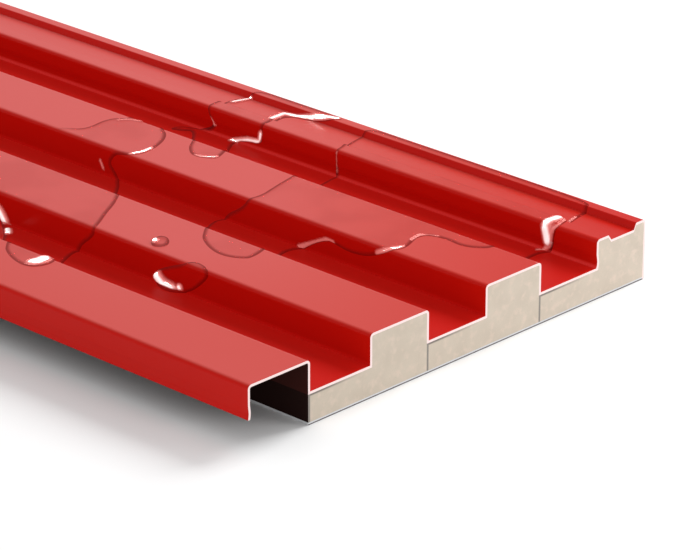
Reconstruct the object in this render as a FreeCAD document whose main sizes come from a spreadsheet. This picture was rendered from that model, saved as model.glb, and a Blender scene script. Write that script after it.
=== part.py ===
"""Insulated box-rib roof panel, in millimetres.

The section lies in the XZ plane and runs along Y. Section places are measured from the outer face of the
drip flange, and each body's placement moves them so that the panel is centred on X and Y and lies on Z = 0.
"""

import FreeCAD, Part
import Sketcher
import os

DRIVING_SIZES = {
    "PanelLength": 2000,
    "RibPitch": 250,
    "RibWidth": 125,
    "RibHeight": 50,
    "PanHeight": 52,
    "SheetThickness": 4,
    "BendRadius": 7,
    "LinerThickness": 4,
    "LapPlay": 0.5,
    "LeftLipDrop": 3,
    "RightLipDrop": 1.5,
    "GutterDrop": 12,
    "LeftLipWidth": 27,
    "RightLipWidth": 23,
    "GutterBevel": 7,
    "GutterRiser": 5,
    "LipRadius": 2,
    "BeadDepth": 1.5,
    "NotchDepth": 2.5,
    "SnapMiddle": 9,
    "SnapEnd": 22,
    "SnapRadius": 25,
}

doc = FreeCAD.newDocument("roof_panel")
sizes = doc.addObject("Spreadsheet::Sheet", "Sizes")
for row, (alias, number) in enumerate(DRIVING_SIZES.items(), start=1):
    sizes.set(f"A{row}", alias)
    sizes.set(f"B{row}", str(number))
    sizes.setAlias(f"B{row}", alias)
doc.recompute()

LENGTH = "Sizes.PanelLength"
PITCH = "Sizes.RibPitch"
THICKNESS = "Sizes.SheetThickness"
PAN = "Sizes.PanHeight"
RIB_TOP = "(Sizes.PanHeight + Sizes.RibHeight)"
LINER = "Sizes.LinerThickness"
LAP_INSET = "(Sizes.SheetThickness + Sizes.LapPlay)"
INNER_RADIUS = "Sizes.BendRadius - Sizes.SheetThickness"

# The male lap rib stands inside the neighbour's hollow one, so it is narrower by two sheets and some play.
MALE_LEFT = f"(3 * {PITCH} + {LAP_INSET})"
MALE_RIGHT = f"(3 * {PITCH} + Sizes.RibWidth - {LAP_INSET})"

# A lapped panel lies one sheet higher at its near edge, with the flange's tip on the neighbour's pan.
FLANGE_TIP = f"({PAN} - {THICKNESS})"

CORE_TOP = f"({PAN} - {THICKNESS})"
CENTRE = f"{MALE_RIGHT} / 2"


def origin_plane(body, role):
    return next(f for f in body.Origin.OriginFeatures if f.Role == role)


def new_body(name):
    body = doc.addObject("PartDesign::Body", name)
    body.Label = name
    body.setExpression("Placement.Base.x", f"-{CENTRE}")
    return body


def snap(face, foot, depth):
    """The shallow bow inward that starts at foot: its deepest point and its upper end."""
    return [
        (f"{face} + {depth}", f"{foot} + Sizes.SnapMiddle"),
        (face, f"{foot} + Sizes.SnapEnd"),
    ]


def rib(left, right, inset):
    """Corners of one box rib from foot to foot, on the surface that lies inset below the outer one."""
    foot = f"{PAN} - {inset}"
    top = f"{RIB_TOP} - {inset}"
    return [
        (f"{left} + {inset}", foot),
        (f"{left} + {inset}", top),
        (f"{right} - {inset}", top),
        (f"{right} - {inset}", foot),
    ]


def lap_rib(inset):
    """The hollow rib, from the tip of its drip flange up, over and down to the first pan."""
    flange = [(inset, FLANGE_TIP)] + snap(inset, FLANGE_TIP, "Sizes.BeadDepth")
    return flange + rib("0", "Sizes.RibWidth", inset)[1:]


def foam_rib(number, inset):
    left = f"{number} * {PITCH}"
    return rib(left, f"{left} + Sizes.RibWidth", inset)


def male_rib(inset):
    """The male lap rib: a snap notch low in its left wall and a shallow gutter between two lips on top."""
    left = f"{MALE_LEFT} + {inset}"
    right = f"{MALE_RIGHT} - {inset}"
    left_lip = f"{RIB_TOP} - Sizes.LeftLipDrop - {inset}"
    right_lip = f"{RIB_TOP} - Sizes.RightLipDrop - {inset}"
    gutter = f"{RIB_TOP} - Sizes.GutterDrop - {inset}"
    left_lip_end = f"{MALE_LEFT} + Sizes.LeftLipWidth"
    right_lip_end = f"{MALE_RIGHT} - Sizes.RightLipWidth"
    wall = [(left, f"{PAN} - {inset}")] + snap(left, PAN, "Sizes.NotchDepth")
    top = [
        (left, left_lip),
        (left_lip_end, left_lip),
        (f"{left_lip_end} + Sizes.GutterBevel", gutter),
        (f"{right_lip_end} - Sizes.GutterRiser", gutter),
        (right_lip_end, right_lip),
        (right, right_lip),
    ]
    return wall + top


def sheet_surface(inset):
    """The whole rolled surface, from the flange tip to the foot of the far side wall."""
    ribs = lap_rib(inset) + foam_rib(1, inset) + foam_rib(2, inset) + male_rib(inset)
    return ribs + [(f"{MALE_RIGHT} - {inset}", "0")]


def draw_outline(body, name, corners):
    """A sketch of the closed outline through corners, every corner bound to the sheet of sizes."""
    sketch = body.newObject("Sketcher::SketchObject", name)
    sketch.AttachmentSupport = [(origin_plane(body, "XZ_Plane"), "")]
    sketch.MapMode = "FlatFace"
    number = lambda formula: float(sizes.evalExpression(formula))
    places = [FreeCAD.Vector(number(x), number(z), 0) for x, z in corners]
    ends = places[1:] + places[:1]
    sketch.addGeometry([Part.LineSegment(a, b) for a, b in zip(places, ends)], False)
    count = len(corners)
    joins = [Sketcher.Constraint("Coincident", i, 2, (i + 1) % count, 1) for i in range(count)]
    sketch.addConstraint(joins)
    for i, (x, z) in enumerate(corners):
        bind_corner(sketch, i, x, places[i].x, "DistanceX", -2)
        bind_corner(sketch, i, z, places[i].y, "DistanceY", -1)
    return sketch


def bind_corner(sketch, line, formula, number, kind, axis):
    """Holds the start of a line at a distance from the origin, or on the axis where that distance is 0."""
    if number == 0:
        sketch.addConstraint(Sketcher.Constraint("PointOnObject", line, 1, axis))
        return
    index = sketch.addConstraint(Sketcher.Constraint(kind, -1, 1, line, 1, number))
    sketch.setExpression(f"Constraints[{index}]", formula)


def extrude(body, corners):
    """Pads the outline through corners by the panel's length, half each way."""
    pad = body.newObject("PartDesign::Pad", f"{body.Name}_length")
    pad.Profile = draw_outline(body, f"{body.Name}_section", corners)
    pad.setExpression("Length", LENGTH)
    pad.Midplane = True
    doc.recompute()
    return pad


def long_edges(feature, corners):
    """Names of the edges of feature that run along the panel through corners."""
    number = lambda formula: float(sizes.evalExpression(formula))
    places = [(number(x), number(z)) for x, z in corners]
    names = []
    for index, edge in enumerate(feature.Shape.Edges, start=1):
        box = edge.BoundBox
        if box.YLength < number(LENGTH) / 2:
            continue
        if any(abs(box.XMin - x) < 0.01 and abs(box.ZMin - z) < 0.01 for x, z in places):
            names.append(f"Edge{index}")
    return names


def round_bends(body, base, name, corners, radius):
    """Rounds the edges of base that run along the panel through corners."""
    fillet = body.newObject("PartDesign::Fillet", name)
    fillet.Base = (base, long_edges(base, corners))
    fillet.setExpression("Radius", radius)
    doc.recompute()
    return fillet


def rib_bends(inset):
    """The upper corners of all four ribs."""
    box_ribs = [rib("0", "Sizes.RibWidth", inset), foam_rib(1, inset), foam_rib(2, inset)]
    return [corner for r in box_ribs for corner in r[1:3]] + male_bends(inset)


def male_bends(inset):
    corners = male_rib(inset)
    return [corners[3], corners[-1]]


def lip_ends(inset):
    """The inner edges of the male rib's two lips."""
    corners = male_rib(inset)
    return [corners[4], corners[-2]]


def snap_bends(inset):
    """The deepest line and the upper end of the flange's bead and of the male rib's notch."""
    return lap_rib(inset)[1:3] + male_rib(inset)[1:3]


def make_outer_sheet():
    body = new_body("outer_sheet")
    outline = sheet_surface("0") + sheet_surface(THICKNESS)[::-1]
    step = extrude(body, outline)
    step = round_bends(body, step, "outer_bends", rib_bends("0"), "Sizes.BendRadius")
    step = round_bends(body, step, "inner_bends", rib_bends(THICKNESS), INNER_RADIUS)
    step = round_bends(body, step, "lip_bends", lip_ends("0"), "Sizes.LipRadius")
    round_bends(body, step, "snap_bends", snap_bends("0") + snap_bends(THICKNESS), "Sizes.SnapRadius")


def make_foam_core(number):
    """Foam under one pan and inside the next box rib, up to the wall that the joint strip continues."""
    body = new_body(f"core_strip_{number}")
    inside = foam_rib(number, THICKNESS)
    pan_left = f"{number - 1} * {PITCH} + Sizes.RibWidth"
    right = inside[2][0]
    outline = [(pan_left, LINER), (pan_left, CORE_TOP)] + inside[:3] + [(right, LINER)]
    step = extrude(body, outline)
    round_bends(body, step, f"{body.Name}_bends", inside[1:3], INNER_RADIUS)


def make_male_core():
    """Foam under the third pan and inside the male lap rib."""
    body = new_body("core_strip_3")
    inside = male_rib(THICKNESS)
    pan_left = f"2 * {PITCH} + Sizes.RibWidth"
    outline = [(pan_left, LINER), (pan_left, CORE_TOP)] + inside + [(inside[-1][0], LINER)]
    step = extrude(body, outline)
    step = round_bends(body, step, "core_strip_3_bends", male_bends(THICKNESS), INNER_RADIUS)
    round_bends(body, step, "core_strip_3_notch", male_rib(THICKNESS)[1:3], "Sizes.SnapRadius")


def make_strip(name, number):
    """Upright strip that carries on the line of a rib's far wall, from the pan down to the liner."""
    body = new_body(name)
    right = f"{number} * {PITCH} + Sizes.RibWidth"
    left = f"{right} - {THICKNESS}"
    extrude(body, [(left, LINER), (left, CORE_TOP), (right, CORE_TOP), (right, LINER)])


def make_liner():
    body = new_body("liner_sheet")
    left = f"Sizes.RibWidth - {THICKNESS}"
    right = f"{MALE_RIGHT} - {THICKNESS}"
    extrude(body, [(left, "0"), (left, LINER), (right, LINER), (right, "0")])


make_outer_sheet()
make_foam_core(1)
make_foam_core(2)
make_male_core()
make_strip("edge_tape", 0)
make_strip("joint_strip_1", 1)
make_strip("joint_strip_2", 2)
make_liner()

doc.recompute()
for item in doc.Objects:
    if "Invalid" in item.State or "Error" in item.State:
        raise RuntimeError(f"{item.Label} did not build: {item.State}")

os.makedirs("parts", exist_ok=True)
for body in doc.findObjects("PartDesign::Body"):
    shape = body.Shape
    if shape.isNull() or not shape.isValid() or len(shape.Solids) != 1:
        raise RuntimeError(f"{body.Label} has no single valid solid")
    shape.exportStep(f"parts/{body.Label}.step")
    print(body.Label, [round(v, 2) for v in (shape.BoundBox.XMin, shape.BoundBox.XMax)], round(shape.Volume))
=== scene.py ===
"""Insulated box-rib roof panel: painted steel, sawn foam and standing water, in metres."""

import math

import bpy
import numpy as np
from mathutils import Matrix, Vector
from mathutils.geometry import delaunay_2d_cdt
from mathutils.kdtree import KDTree


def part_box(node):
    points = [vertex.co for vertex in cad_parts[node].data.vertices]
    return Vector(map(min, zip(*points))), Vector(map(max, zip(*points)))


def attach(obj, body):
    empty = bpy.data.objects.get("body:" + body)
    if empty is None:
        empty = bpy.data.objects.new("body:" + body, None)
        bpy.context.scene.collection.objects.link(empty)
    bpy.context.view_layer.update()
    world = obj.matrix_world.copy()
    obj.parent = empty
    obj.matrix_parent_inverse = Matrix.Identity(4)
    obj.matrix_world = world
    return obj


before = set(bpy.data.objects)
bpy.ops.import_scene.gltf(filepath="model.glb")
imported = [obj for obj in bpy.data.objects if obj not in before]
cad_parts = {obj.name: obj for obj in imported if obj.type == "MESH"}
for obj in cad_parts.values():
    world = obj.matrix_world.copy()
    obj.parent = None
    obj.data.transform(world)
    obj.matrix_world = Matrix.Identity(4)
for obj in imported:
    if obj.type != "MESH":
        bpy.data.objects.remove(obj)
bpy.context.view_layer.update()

IMAGE_WIDTH = 680
IMAGE_HEIGHT = 550
SENSOR = 36.0

# The photograph's camera, fitted to the rib edges.
CAMERA_PLACE = Vector((-3.9816, -4.5835, 2.3976))
CAMERA_YAW = math.radians(46.17)
CAMERA_PITCH = math.radians(22.88)
CAMERA_ROLL = math.radians(0.02)
FOCAL_PIXELS = 3948.0

SHEET_LOW, SHEET_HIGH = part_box("outer_sheet")
CORE_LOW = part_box("core_strip_1")[0]

# The weather side's section, in metres: ribs, bends and the male rib's lips and gutter.
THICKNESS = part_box("liner_sheet")[1].z
CORE_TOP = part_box("edge_tape")[1].z
PAN_TOP = CORE_TOP + THICKNESS
RIB_TOP = SHEET_HIGH.z
RIB_WIDTH = CORE_LOW.x - SHEET_LOW.x
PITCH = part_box("core_strip_2")[0].x - CORE_LOW.x
PAN_WIDTH = PITCH - RIB_WIDTH
BEND = 0.007
LAP_INSET = 3 * PITCH + RIB_WIDTH + SHEET_LOW.x - SHEET_HIGH.x
LEFT_LIP_DROP = 0.003
LEFT_LIP_WIDTH = 0.027
RIGHT_LIP_DROP = 0.0015
RIGHT_LIP_WIDTH = 0.023
GUTTER_DROP = 0.012
GUTTER_BEVEL = 0.007
GUTTER_RISER = 0.005

# Outlines of the standing water, as pixels of the photograph; those beyond its left edge are guessed.
LEFT_POOL = (
    (55, 129), (69, 128), (80, 129), (91, 126.5), (101, 121.5), (110, 119), (119, 118), (130, 119),
    (140, 121), (151, 125), (163, 129.5), (166.5, 133), (166, 138), (161, 144), (153, 149.5),
    (143, 153.5), (132, 156), (120, 155), (115, 155.5), (110, 163), (116, 172), (119, 181),
    (120, 190), (119, 196), (115, 204), (107, 213), (101, 222), (96, 232), (92, 238.5), (80, 246.5),
    (69, 254.5), (57, 261.5), (46, 265.5), (34, 267), (23, 265.5), (14, 260.5), (7, 253.5), (4, 246),
    (4, 238), (3, 231), (1, 223), (-5, 213), (-12, 203), (-24, 190), (-42, 172), (-60, 150),
    (-50, 118), (-10, 108), (30, 118),
)
UPPER_POOL = (
    (208, 107), (216, 102), (233, 99), (251, 95), (262, 91), (300, 104), (330, 114), (345, 119),
    (334, 121), (314, 121.5), (290, 117), (279, 119.5), (271, 122), (263, 128), (263, 138), (260, 145),
    (250, 142), (235, 141.5), (230, 150), (223, 158.5), (206, 158.5), (191, 155.5), (188, 147.5),
    (192, 141), (197, 131.5), (181, 131), (168, 129), (180, 126), (200, 129), (215, 126), (209, 115),
)
MIDDLE_POOL = (
    (292, 176), (275, 186), (259, 196.5), (245, 206), (223, 215), (206, 224), (201, 233), (204, 243.5),
    (216.5, 254), (235, 258.5), (257, 258.5), (280, 254.5), (296, 249), (312, 244.5), (329, 240.5),
    (337, 245.5), (349, 252.5), (365, 256.5), (378, 255.5), (394, 251.5), (404, 248.5), (410, 245),
    (416, 238.5), (425, 235.5), (437, 237), (449, 240.5), (459, 245.5), (476, 248.5), (496, 248),
    (536, 254.5), (546, 253), (551, 252), (553, 246), (556, 229), (560, 227.5), (577, 218.5),
    (587, 212), (592, 204), (560, 192), (480, 165), (400, 138), (368, 127.5), (347, 144), (341, 147),
    (336, 151), (336, 174), (330, 179),
)
SMALL_DROP = (
    (151, 243), (152, 240), (156, 237.5), (162, 236.5), (168, 238), (170, 241.5), (167.5, 245.5),
    (162, 247), (157, 247), (152, 246),
)
LARGE_DROP = (
    (153, 277), (155, 271), (163, 267.5), (175, 265), (186, 263.5), (197, 263), (203, 265.5),
    (207.5, 269), (209, 274), (207.5, 279), (201, 285), (193.5, 290.5), (186, 292.5), (176, 293),
    (165.5, 291), (157, 286),
)
# Thicker ridges in the films: the pixels that each runs through, its height and spread in metres, and
# how pale its painted highlight is.
LEFT_RIDGES = (
    (((34, 263), (39, 262), (44, 260)), 0.0035, 0.0085, 1.0),
    (((-4, 204), (2, 211), (6, 219), (7, 223)), 0.006, 0.0065, 1.0),
    (((7.5, 231), (8, 234)), 0.0035, 0.005, 1.0),
    (((151, 149), (141, 153), (130, 155.5)), 0.0012, 0.0035, 0.9),
    (((118, 120.5), (130, 120), (142, 122)), 0.0003, 0.0025, 0.5),
    (((101, 160), (104, 168)), 0.0003, 0.003, 0.5),
)
UPPER_RIDGES = (
    (((233, 102.5), (244, 100.5), (251, 98.5)), 0.0008, 0.0035, 0.85),
    (((272, 119), (284, 114.5), (308, 118), (343, 120)), 0.0009, 0.005, 0.9),
    (((262, 134), (261, 142.5), (248, 140.5), (232, 141)), 0.0012, 0.0045, 1.0),
    (((191, 155), (206, 157.5), (220, 157)), 0.0005, 0.0025, 0.7),
    (((211, 118), (215, 124)), 0.0003, 0.0025, 0.6),
)
MIDDLE_RIDGES = (
    (((548, 229), (550, 240)), 0.007, 0.008, 1.0),
    (((549, 223), (558, 219)), 0.003, 0.007, 1.0),
    (((575, 218), (558, 226.5), (554, 229), (549, 245), (537, 250.5)), 0.0004, 0.003, 0.6),
    (((300, 246.5), (314, 243), (327, 239.5), (333, 242)), 0.0004, 0.004, 0.58),
    (((379, 253.5), (390, 251), (402, 247.5)), 0.0007, 0.005, 0.68),
    (((412, 240), (420, 235.5), (436, 237)), 0.0004, 0.004, 0.55),
    (((337, 152), (337, 172)), 0.0002, 0.002, 0.4),
)
SMALL_DROP_RIDGES = ((((154, 242), (154.5, 243)), 0.003, 0.005, 1.0),)
LARGE_DROP_RIDGES = (
    (((160, 275), (166, 283), (175, 288)), 0.0065, 0.0075, 1.0),
    (((182, 286), (182.5, 286.5)), 0.004, 0.004, 1.0),
)

# The water's thickness in metres, the width of its rounded rim, and how far its rim and its underside lie
# below the paint.
FILM_DEPTH = 0.0018
FILM_EDGE = 0.012
DROP_DEPTH = 0.004
DROP_EDGE = 0.009
RIM_SUNK = 0.0002
UNDERSIDE_SUNK = 0.0008

# Ridges rise from nothing at the rim to their full height this far inside it.
RIDGE_FOOT = 0.003
RIDGE_POINTS = 12

# The films' points: the step along a rim, the rings inside it as shares of the rounded rim's width, the
# share of that distance which a ring's point has to keep from the rim, and the grid inside the rings.
RIM_STEP = 0.0012
RING_SHARES = (0.08, 0.2, 0.36, 0.56, 0.8, 1.05)
RING_SLACK = 0.96
GRID_STEP = 0.0035
GRID_START = 1.2

# A film leans over evenly this far either side of a bend.
CORNER_EASE = 0.004

# The left pool's far part fades out between these places along the ribs.
FAINT_FROM = -0.085
FAINT_TO = -0.05

# The middle of the water, which its lamps point at.
WATER_MIDDLE = (0, -0.5, 0.1)

# The world's strength, and the floor's distance below the panel and reach, in metres.
SOFT_LIGHT = 0.92
FLOOR_DROP = 0.0004
FLOOR_REACH = 30.0


class Nodes:
    """Short hand for one material's node tree."""

    def __init__(self, name):
        self.material = bpy.data.materials.new(name)
        self.material.use_nodes = True
        self.tree = self.material.node_tree
        self.tree.nodes.clear()
        self.output = self.add("ShaderNodeOutputMaterial")
        coordinates = self.add("ShaderNodeTexCoord")
        self.place = coordinates.outputs["Object"]
        split = self.add("ShaderNodeSeparateXYZ")
        self.link(self.place, split.inputs[0])
        self.x, self.y, self.z = split.outputs
        geometry = self.add("ShaderNodeNewGeometry")
        face = self.add("ShaderNodeSeparateXYZ")
        self.link(geometry.outputs["Normal"], face.inputs[0])
        self.normal_x, self.normal_y, self.normal_z = face.outputs

    def add(self, kind, **settings):
        node = self.tree.nodes.new(kind)
        for key, value in settings.items():
            setattr(node, key, value)
        return node

    def link(self, source, target):
        if hasattr(source, "node"):
            self.tree.links.new(source, target)
        else:
            target.default_value = source

    def math(self, operation, first, second=0.0):
        node = self.add("ShaderNodeMath", operation=operation)
        for value, socket in zip((first, second), node.inputs):
            self.link(value, socket)
        return node.outputs[0]

    def above(self, value, limit):
        return self.math("GREATER_THAN", value, limit)

    def below(self, value, limit):
        return self.math("LESS_THAN", value, limit)

    def both(self, first, second):
        return self.math("MULTIPLY", first, second)

    def at_cut_end(self):
        """1 on faces that look along the panel, and 0 elsewhere."""
        return self.above(self.math("ABSOLUTE", self.normal_y), 0.7)

    def scaled(self, value, low, high, to_low=0.0, to_high=1.0):
        node = self.add("ShaderNodeMapRange", clamp=True)
        for source, socket in zip((value, low, high, to_low, to_high), node.inputs):
            self.link(source, socket)
        return node.outputs[0]

    def noise(self, scale, detail):
        node = self.add("ShaderNodeTexNoise")
        self.link(self.place, node.inputs["Vector"])
        node.inputs["Scale"].default_value = scale
        node.inputs["Detail"].default_value = detail
        return node.outputs["Fac"]

    def mix(self, share, first, second):
        node = self.add("ShaderNodeMix", data_type="RGBA")
        self.link(share, node.inputs["Factor"])
        for colour, name in ((first, "A"), (second, "B")):
            socket = next(s for s in node.inputs if s.name == name and s.type == "RGBA")
            self.link(colour if hasattr(colour, "node") else (*colour, 1.0), socket)
        return next(s for s in node.outputs if s.type == "RGBA")

    def bump(self, height, distance, strength):
        node = self.add("ShaderNodeBump")
        self.link(height, node.inputs["Height"])
        node.inputs["Distance"].default_value = distance
        node.inputs["Strength"].default_value = strength
        return node.outputs[0]

    def shader(self, colour, roughness, normal=None, **settings):
        node = self.add("ShaderNodeBsdfPrincipled")
        self.link(colour if hasattr(colour, "node") else (*colour, 1.0), node.inputs["Base Color"])
        self.link(roughness, node.inputs["Roughness"])
        if normal is not None:
            self.link(normal, node.inputs["Normal"])
        for name, value in settings.items():
            node.inputs[name.replace("_", " ")].default_value = value
        self.link(node.outputs[0], self.output.inputs["Surface"])
        return node


def paint_sheen(n, red):
    """Paints a pale sheen on the rib tops in place of the sky's reflection, more towards the hollow rib
    and away from the cut end.
    """
    on_rib = n.both(n.above(n.z, RIB_TOP - 0.02), n.scaled(n.normal_z, 0.6, 0.95))
    ramp = n.scaled(n.x, 0.0, SHEET_HIGH.x, SHEET_LOW.y + 0.4, SHEET_LOW.y + 0.8)
    far = n.scaled(n.y, SHEET_LOW.y, ramp)
    at_end = n.scaled(n.x, SHEET_LOW.x, SHEET_HIGH.x, 0.8, 0.0)
    beyond = n.scaled(n.x, SHEET_LOW.x, SHEET_LOW.x + 0.3, 0.8, 1.0)
    painted_sheen = n.both(on_rib, n.scaled(far, 0.0, 1.0, at_end, beyond))
    return n.mix(painted_sheen, red, n.mix(painted_sheen, (0.57, 0.077, 0.052), (0.57, 0.077, 0.069)))


def paint_foot_reflections(n, red):
    """Painted reflections on the pans: lightens each pan towards the foot of the next rib, and most at
    the male rib's foot.
    """
    along = n.math("FLOORED_MODULO", n.math("SUBTRACT", n.x, CORE_LOW.x), PITCH)
    on_pan = n.both(n.above(n.x, CORE_LOW.x), n.below(along, PAN_WIDTH + 0.05))
    low = n.both(on_pan, n.scaled(n.z, PAN_TOP + 0.006, PAN_TOP + 0.002))
    near_foot = n.both(low, n.scaled(along, PAN_WIDTH - 0.035, PAN_WIDTH))
    at_male_foot = n.both(low, n.scaled(along, PAN_WIDTH + 0.001, PAN_WIDTH + LAP_INSET))
    return n.mix(at_male_foot, n.mix(near_foot, red, (0.67, 0.011, 0.007)), (0.80, 0.045, 0.04))


def outer_paint():
    """Glossy red on the weather side, near black inside the hollow rib as painted shade, and bright metal
    at the cut ends.
    """
    n = Nodes("outer_paint")
    cut_end = n.at_cut_end()
    wall = 0.8 * THICKNESS
    inside_x = n.both(n.above(n.x, SHEET_LOW.x + wall), n.below(n.x, CORE_LOW.x - wall))
    inside = n.both(inside_x, n.below(n.z, SHEET_HIGH.z - wall))
    red = n.mix(n.noise(3.0, 2.0), (0.50, 0.004, 0.001), (0.53, 0.006, 0.002))
    # Painted sheen: paler rib tops in place of the sky's reflection.
    red = paint_sheen(n, red)
    # Painted light: faces that look towards -x are a lighter red, which lifts their shade.
    red = n.mix(n.scaled(n.normal_x, -0.4, -0.9), red, (0.57, 0.007, 0.003))
    # Painted reflections along the feet of the ribs.
    red = paint_foot_reflections(n, red)
    # Painted shade: near black inside the hollow rib.
    painted_inside_shade = n.mix(inside, red, (0.040, 0.006, 0.004))
    metal = n.mix(n.noise(600.0, 3.0), (0.98, 0.79, 0.77), (0.93, 0.73, 0.71))
    colour = n.mix(cut_end, painted_inside_shade, metal)
    painted = n.math("SUBTRACT", 1.0, n.math("MAXIMUM", cut_end, inside))
    glossy = n.both(n.above(n.z, PAN_TOP + 0.003), painted)
    roughness = n.scaled(glossy, 0.0, 1.0, 0.5, 0.26)
    n.shader(colour, roughness, n.bump(n.noise(18.0, 2.0), 0.0004, 0.2), Specular_IOR_Level=0.08)
    return n.material


def foam():
    """Cream foam with faint blotches and fine cells, painted shade that darkens it towards the left end,
    and a painted shadow under the sheet at the left of each pan.
    """
    n = Nodes("foam")
    cells = n.noise(420.0, 3.0)
    base = n.mix(n.noise(28.0, 2.0), (0.56, 0.475, 0.39), (0.68, 0.59, 0.49))
    base = n.mix(n.scaled(n.noise(70.0, 2.0), 0.5, 0.7), base, (0.70, 0.58, 0.485))
    # Painted shade: the foam is darker towards the left end.
    base = n.mix(n.scaled(n.x, CORE_LOW.x, SHEET_HIGH.x, 0.25, 0.0), base, (0.42, 0.36, 0.27))
    base = n.mix(n.scaled(cells, 0.6, 0.8), base, (0.50, 0.43, 0.34))
    # Painted shadow under the sheet, strongest at the left of each pan and fading out to the right.
    along = n.math("FLOORED_MODULO", n.math("SUBTRACT", n.x, CORE_LOW.x), PITCH)
    under = n.both(n.scaled(n.z, CORE_TOP - 0.004, CORE_TOP - 0.002), n.below(n.z, CORE_TOP + 0.001))
    gap = n.both(under, n.scaled(along, 0.03, 0.11, 0.85, 0.0))
    n.shader(n.mix(gap, base, (0.14, 0.12, 0.11)), 0.95, n.bump(cells, 0.0005, 0.4))
    return n.material


def grey_strip():
    """Grey foam tape at the cut ends, and near black along its length as painted shade inside the hollow
    rib.
    """
    n = Nodes("grey_strip")
    grey = n.mix(n.noise(300.0, 3.0), (0.25, 0.22, 0.20), (0.32, 0.29, 0.26))
    # Near black along the length is painted shade.
    n.shader(n.mix(n.at_cut_end(), (0.014, 0.004, 0.003), grey), 0.9, Specular_IOR_Level=0.1)
    return n.material


def liner_paint():
    """Pale paint with a painted contact shadow along the lower edge at the cut ends."""
    n = Nodes("liner_paint")
    pale = n.mix(n.noise(8.0, 3.0), (0.62, 0.63, 0.64), (0.70, 0.71, 0.72))
    # Painted contact shadow along the lower edge of the cut ends.
    edge = n.both(n.at_cut_end(), n.below(n.z, 0.0015))
    n.shader(n.mix(edge, pale, (0.05, 0.03, 0.03)), 0.4, n.bump(n.noise(60.0, 2.0), 0.0003, 0.2))
    return n.material


def dress(node, material):
    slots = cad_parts[node].data.materials
    slots.clear()
    slots.append(material)


def dress_frame():
    dress("outer_sheet", outer_paint())
    foam_material = foam()
    for name in ("core_strip_1", "core_strip_2", "core_strip_3"):
        dress(name, foam_material)
    strip_material = grey_strip()
    for name in ("edge_tape", "joint_strip_1", "joint_strip_2"):
        dress(name, strip_material)
    dress("liner_sheet", liner_paint())


def camera_axes():
    """Right, up and back of the camera, from its yaw, pitch and roll."""
    level = math.cos(CAMERA_PITCH)
    across = math.sin(CAMERA_YAW) * level
    ahead = math.cos(CAMERA_YAW) * level
    forward = Vector((across, ahead, -math.sin(CAMERA_PITCH)))
    right = forward.cross(Vector((0, 0, 1))).normalized()
    up = right.cross(forward)
    rolled_right = right * math.cos(CAMERA_ROLL) + up * math.sin(CAMERA_ROLL)
    rolled_up = up * math.cos(CAMERA_ROLL) - right * math.sin(CAMERA_ROLL)
    return rolled_right, rolled_up, -forward


def make_camera():
    data = bpy.data.cameras.new("view")
    data.sensor_width = SENSOR
    data.lens = FOCAL_PIXELS / IMAGE_WIDTH * SENSOR
    data.clip_end = 100
    camera = bpy.data.objects.new("view", data)
    turn = Matrix(camera_axes()).transposed().to_4x4()
    camera.matrix_world = Matrix.Translation(CAMERA_PLACE) @ turn
    bpy.context.scene.collection.objects.link(camera)
    bpy.context.scene.camera = camera


def pixel_ray(column, row):
    """Direction from the camera through a pixel of the photograph."""
    right, up, back = camera_axes()
    across = (column - IMAGE_WIDTH / 2) / FOCAL_PIXELS
    upward = (IMAGE_HEIGHT / 2 - row) / FOCAL_PIXELS
    return right * across + up * upward - back


def rounded(corners, steps=6):
    """The line through corners of (x, z, bend radius), with each bend as an arc."""
    line = []
    for i, (x, z, radius) in enumerate(corners):
        here = Vector((x, z))
        if radius == 0 or i in (0, len(corners) - 1):
            line.append(here)
            continue
        before = (Vector(corners[i - 1][:2]) - here).normalized()
        after = (Vector(corners[i + 1][:2]) - here).normalized()
        half = before.angle(after) / 2
        reach = radius / math.tan(half)
        centre = here + (before + after).normalized() * radius / math.sin(half)
        first = here + before * reach - centre
        turn = first.angle_signed(here + after * reach - centre)
        for k in range(steps + 1):
            line.append(centre + Matrix.Rotation(-turn * k / steps, 2) @ first)
    return line


def weather_side():
    """The outer surface's section, as a line from the first rib's foot to the far edge of the top."""
    left = SHEET_LOW.x
    corners = [(left, PAN_TOP, 0)]
    for rib in range(3):
        start = left + rib * PITCH
        end = start + RIB_WIDTH
        corners += [(start, PAN_TOP, 0)] if rib else []
        corners += [(start, RIB_TOP, BEND), (end, RIB_TOP, BEND), (end, PAN_TOP, 0)]
    male_left = left + 3 * PITCH + LAP_INSET
    male_right = SHEET_HIGH.x
    lip_end = male_left + LEFT_LIP_WIDTH
    riser = male_right - RIGHT_LIP_WIDTH
    corners += [
        (male_left, PAN_TOP, 0),
        (male_left, RIB_TOP - LEFT_LIP_DROP, BEND),
        (lip_end, RIB_TOP - LEFT_LIP_DROP, 0),
        (lip_end + GUTTER_BEVEL, RIB_TOP - GUTTER_DROP, 0),
        (riser - GUTTER_RISER, RIB_TOP - GUTTER_DROP, 0),
        (riser, RIB_TOP - RIGHT_LIP_DROP, 0),
        (male_right, RIB_TOP - RIGHT_LIP_DROP, 0),
    ]
    return np.array([tuple(p) for p in rounded(corners)])


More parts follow.
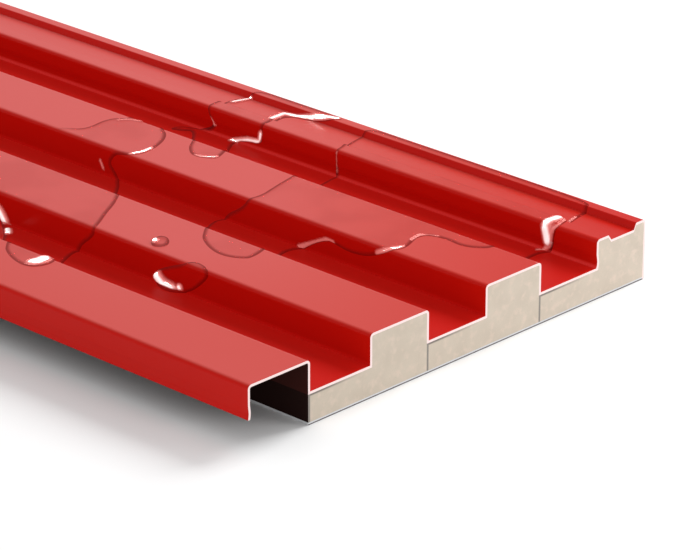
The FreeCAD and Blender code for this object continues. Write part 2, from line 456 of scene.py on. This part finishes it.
class Surface:
    """The weather side unrolled: girth is the distance along its section, and y runs along the ribs."""

    def __init__(self):
        self.line = weather_side()
        steps = np.linalg.norm(np.diff(self.line, axis=0), axis=1)
        self.girth = np.concatenate([[0.0], np.cumsum(steps)])

    def place(self, girth):
        return np.stack([np.interp(girth, self.girth, self.line[:, k]) for k in (0, 1)], axis=-1)

    def normal(self, girth):
        """Outward direction in the section, eased round the corners."""
        along = self.place(girth + CORNER_EASE) - self.place(girth - CORNER_EASE)
        along /= np.linalg.norm(along, axis=-1, keepdims=True)
        return np.stack([-along[:, 1], along[:, 0]], axis=-1)

    def above(self, flat, height):
        """Points that stand a height above the surface, from their girth and y."""
        section = self.place(flat[:, 0]) + self.normal(flat[:, 0]) * np.reshape(height, (-1, 1))
        return np.stack([section[:, 0], flat[:, 1], section[:, 1]], axis=-1)

    def under_pixel(self, column, row):
        """Where the ray through a pixel meets the surface first, as girth and y."""
        ray = pixel_ray(column, row)
        origin = np.array((CAMERA_PLACE.x, CAMERA_PLACE.z))
        direction = np.array((ray.x, ray.z))
        best = None
        for i in range(len(self.line) - 1):
            edge = self.line[i + 1] - self.line[i]
            cross = direction[0] * edge[1] - direction[1] * edge[0]
            if abs(cross) < 1e-12:
                continue
            gap = self.line[i] - origin
            reach = (gap[0] * edge[1] - gap[1] * edge[0]) / cross
            share = (gap[0] * direction[1] - gap[1] * direction[0]) / cross
            if reach > 0 and 0 <= share <= 1 and (best is None or reach < best[0]):
                best = (reach, self.girth[i] + share * np.linalg.norm(edge))
        return best[1], CAMERA_PLACE.y + best[0] * ray.y

    def under_pixels(self, pixels):
        return np.array([self.under_pixel(*pixel) for pixel in pixels])


def smooth_closed(points, rounds=3):
    """Cuts the corners of a closed outline a few times over."""
    for _ in range(rounds):
        after = np.roll(points, -1, axis=0)
        early = 0.75 * points + 0.25 * after
        late = 0.25 * points + 0.75 * after
        points = np.stack([early, late], axis=1).reshape(-1, 2)
    return points


def evenly_closed(points, step):
    """A closed outline's points, at even distances of about one step."""
    closed = np.vstack([points, points[:1]])
    run = np.concatenate([[0.0], np.cumsum(np.linalg.norm(np.diff(closed, axis=0), axis=1))])
    count = max(12, int(run[-1] / step))
    at = np.arange(count) * run[-1] / count
    return np.stack([np.interp(at, run, closed[:, k]) for k in (0, 1)], axis=-1)


class Outline:
    """A smooth closed outline on the unrolled surface."""

    def __init__(self, points):
        self.points = evenly_closed(smooth_closed(points), RIM_STEP)
        along = np.roll(self.points, -1, axis=0) - np.roll(self.points, 1, axis=0)
        x, y = self.points.T
        turn = np.sign(x @ np.roll(y, -1) - y @ np.roll(x, -1))
        self.inward = turn * np.stack([-along[:, 1], along[:, 0]], axis=-1)
        self.inward /= np.linalg.norm(self.inward, axis=1, keepdims=True)
        self.tree = KDTree(len(self.points))
        for i, point in enumerate(self.points):
            self.tree.insert((*point, 0), i)
        self.tree.balance()

    def depth(self, points):
        """Distance from each point to the outline, positive inside it."""
        found = [self.tree.find((*point, 0))[1:] for point in points]
        nearest = np.array([index for index, _ in found])
        side = ((points - self.points[nearest]) * self.inward[nearest]).sum(axis=1)
        return np.sign(side) * np.array([away for _, away in found])


def film_points(surface, outline, edge):
    """Points inside an outline: rings along its edge, and a grid that follows the section's bends."""
    kept = []
    for share in RING_SHARES:
        ring = outline.points[::2] + outline.inward[::2] * edge * share
        kept.append(ring[outline.depth(ring) > edge * share * RING_SLACK])
    low, high = outline.points.min(axis=0), outline.points.max(axis=0)
    lines = [g for g in surface.girth if low[0] < g < high[0]]
    columns = []
    for a, b in zip([low[0]] + lines, lines + [high[0]]):
        count = max(1, math.ceil((b - a) / GRID_STEP))
        columns += [a + (b - a) * k / count for k in range(count)]
    rows = np.arange(low[1], high[1], GRID_STEP)
    grid = np.array([(g, y + GRID_STEP / 2 * (i % 2)) for i, g in enumerate(columns) for y in rows])
    kept.append(grid[outline.depth(grid) > edge * GRID_START])
    return np.vstack(kept)


def ridge_line(surface, pixels):
    """A ridge's line on the unrolled surface, evenly divided."""
    bends = surface.under_pixels(pixels)
    return np.vstack([np.linspace(a, b, RIDGE_POINTS) for a, b in zip(bends, bends[1:])])


def ridge_swell(surface, flat, from_rim, ridges):
    """How much the ridges raise each point, and how pale their painted highlight makes the water there.
    """
    raised = np.zeros(len(flat))
    crest = np.zeros(len(flat))
    for pixels, height, spread, highlight_paleness in ridges:
        line = ridge_line(surface, pixels)
        away = np.linalg.norm(flat[:, None] - line[None], axis=2).min(axis=1)
        swell = np.exp(-0.5 * (away / spread) ** 2) * np.clip(from_rim / RIDGE_FOOT, 0, 1)
        raised += height * swell
        crest = np.maximum(crest, swell * highlight_paleness)
    return raised, crest


def closed_shell(over, under, faces):
    """Vertices and faces of the closed body between two layers of points that share their faces."""
    count = len(over)
    top = [tuple(face) for face in faces]
    bottom = [tuple(v + count for v in reversed(face)) for face in top]
    edges = dict.fromkeys((a, b) for face in top for a, b in zip(face, face[1:] + face[:1]))
    open_edges = [(a, b) for a, b in edges if (b, a) not in edges]
    sides = [(b, a, a + count, b + count) for a, b in open_edges]
    return np.vstack([over, under]).tolist(), top + bottom + sides


def make_film(name, surface, pixels, depth, edge, material, ridges):
    """A closed film of water draped over the ribs, with a rounded rim, sunk a little into the paint.

    Light that the paint scatters passes through it, which keeps stray bright points out of the picture.
    """
    outline = Outline(surface.under_pixels(pixels))
    rim = outline.points[::2]
    flat = np.vstack([rim, film_points(surface, outline, edge)])
    loop = list(range(len(rim)))
    corners, _, faces, *_ = delaunay_2d_cdt([Vector(p) for p in flat], [], [loop], 1, 1e-7)
    flat = np.array([tuple(c) for c in corners])
    from_rim = outline.depth(flat)
    inside = np.clip(from_rim / edge, 0, 1)
    raised, crest = ridge_swell(surface, flat, from_rim, ridges)
    lift = depth * np.sqrt(1 - (1 - inside) ** 2) - RIM_SUNK + raised
    over = surface.above(flat, lift)
    under = surface.above(flat, -UNDERSIDE_SUNK)
    vertices, shell = closed_shell(over, under, faces)
    mesh = bpy.data.meshes.new(name)
    mesh.from_pydata(vertices, [], shell)
    mesh.validate()
    mesh.shade_smooth()
    for key, values in (("rim", 1 - inside), ("crest", crest)):
        attribute = mesh.attributes.new(key, "FLOAT", "POINT")
        attribute.data.foreach_set("value", np.tile(values, 2))
    mesh.materials.append(material)
    film = bpy.data.objects.new(name, mesh)
    bpy.context.scene.collection.objects.link(film)
    film.visible_diffuse = False
    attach(film, "root")
    return film


def water():
    """Clear water: a faint tint on the rib tops, painted shade at the rim, and shiny ridges with painted
    highlights.
    """
    n = Nodes("water")
    rim = n.add("ShaderNodeAttribute", attribute_name="rim").outputs["Fac"]
    crest = n.add("ShaderNodeAttribute", attribute_name="crest").outputs["Fac"]
    # Near black for the rim, as painted shade, and for the faint tint; pale pink on the ridges, as
    # painted highlight.
    colour = n.mix(n.scaled(crest, 0.15, 0.4), (0.08, 0.001, 0.001), (0.70, 0.24, 0.22))
    # Painted highlight: near white at the ridges' crests.
    colour = n.mix(n.scaled(crest, 0.6, 0.85), colour, (0.95, 0.90, 0.89))
    node = n.shader(colour, 0.9, IOR=1.05, Coat_IOR=1.5, Coat_Roughness=0.03)
    n.link(n.scaled(crest, 0.5, 0.75), node.inputs["Coat Weight"])
    seen = n.scaled(n.y, FAINT_FROM, FAINT_TO, 1.0, 0.0)
    # The rim's painted shade shows here.
    at_rim = n.both(seen, n.scaled(rim, 0.3, 0.75, 0.0, 0.55))
    on_top = n.both(seen, n.scaled(n.z, RIB_TOP - BEND, RIB_TOP))
    tint = n.both(on_top, n.scaled(n.noise(12.0, 2.0), 0.42, 0.6, 0.02, 0.08))
    on_ridge = n.scaled(crest, 0.1, 0.8, 0.0, 0.95)
    thickest = n.math("MAXIMUM", n.math("MAXIMUM", at_rim, tint), on_ridge)
    n.link(thickest, node.inputs["Alpha"])
    return n.material


def make_water():
    """The three pools and the two drops."""
    surface = Surface()
    clear = water()
    pool = (FILM_DEPTH, FILM_EDGE, clear)
    drop = (DROP_DEPTH, DROP_EDGE, clear)
    return [
        make_film("water_left", surface, LEFT_POOL, *pool, LEFT_RIDGES),
        make_film("water_upper", surface, UPPER_POOL, *pool, UPPER_RIDGES),
        make_film("water_middle", surface, MIDDLE_POOL, *pool, MIDDLE_RIDGES),
        make_film("water_drop_small", surface, SMALL_DROP, *drop, SMALL_DROP_RIDGES),
        make_film("water_drop_large", surface, LARGE_DROP, *drop, LARGE_DROP_RIDGES),
    ]


def make_area_light(name, place, target, size, power, depth=None):
    """A rectangular lamp that points at a target, square unless it has a depth."""
    data = bpy.data.lights.new(name, "AREA")
    data.shape = "RECTANGLE"
    data.size = size
    data.size_y = depth or size
    data.energy = power
    lamp = bpy.data.objects.new(name, data)
    lamp.location = place
    lamp.rotation_euler = (Vector(target) - Vector(place)).to_track_quat("-Z", "Y").to_euler()
    bpy.context.scene.collection.objects.link(lamp)
    return lamp


def light_only(lamp, pieces, gleam):
    """Keeps a lamp to some pieces, where it shows either as a gleam or as plain light."""
    lamp.visible_diffuse = not gleam
    lamp.visible_glossy = gleam
    lamp.visible_transmission = False
    receivers = bpy.data.collections.new(lamp.name + "_pieces")
    for piece in pieces:
        receivers.objects.link(piece)
    lamp.light_linking.receiver_collection = receivers


def make_world():
    """Even soft light, with a plain white backdrop for the camera and for reflections."""
    world = bpy.data.worlds.new("studio")
    world.use_nodes = True
    tree = world.node_tree
    tree.nodes.clear()
    soft = tree.nodes.new("ShaderNodeBackground")
    soft.inputs["Strength"].default_value = SOFT_LIGHT
    white = tree.nodes.new("ShaderNodeBackground")
    path = tree.nodes.new("ShaderNodeLightPath")
    seen = path.outputs["Is Camera Ray"]
    for name in ("Is Glossy Ray", "Is Transmission Ray"):
        either = tree.nodes.new("ShaderNodeMath")
        either.operation = "MAXIMUM"
        tree.links.new(seen, either.inputs[0])
        tree.links.new(path.outputs[name], either.inputs[1])
        seen = either.outputs[0]
    mix = tree.nodes.new("ShaderNodeMixShader")
    tree.links.new(seen, mix.inputs[0])
    tree.links.new(soft.outputs[0], mix.inputs[1])
    tree.links.new(white.outputs[0], mix.inputs[2])
    output = tree.nodes.new("ShaderNodeOutputWorld")
    tree.links.new(mix.outputs[0], output.inputs["Surface"])
    bpy.context.scene.world = world


def make_floor():
    """A plain pale floor, which lies a little under the panel."""
    mesh = bpy.data.meshes.new("floor")
    signs = ((-1, -1), (1, -1), (1, 1), (-1, 1))
    corners = [(FLOOR_REACH * a, FLOOR_REACH * b, -FLOOR_DROP) for a, b in signs]
    mesh.from_pydata(corners, [], [(0, 1, 2, 3)])
    floor = bpy.data.objects.new("floor", mesh)
    bpy.context.scene.collection.objects.link(floor)
    n = Nodes("floor_white")
    n.shader((0.92, 0.92, 0.92), 0.9)
    mesh.materials.append(n.material)


dress_frame()
water_pieces = make_water()
make_floor()
make_world()
make_camera()
make_area_light("sky", (4.4, -1.2, 4.15), (0, -0.3, 0), 2.8, 245)
make_area_light("front", (1.6, -4.0, 1.6), (0, -1, 0), 1.5, 22)
window = make_area_light("window", (1.58, 0.82, 2.27), WATER_MIDDLE, 1.35, 350)
skylight = make_area_light("skylight", (-0.97, 2.16, 1.60), WATER_MIDDLE, 5.2, 1500, depth=2.4)
glow = make_area_light("glow", (-3.0, -1.0, 2.0), WATER_MIDDLE, 1.5, 110)
glow.data.cycles.use_multiple_importance_sampling = False
light_only(window, water_pieces, gleam=True)
light_only(skylight, water_pieces, gleam=True)
light_only(glow, water_pieces, gleam=False)
bpy.context.scene.view_settings.view_transform = "Standard"
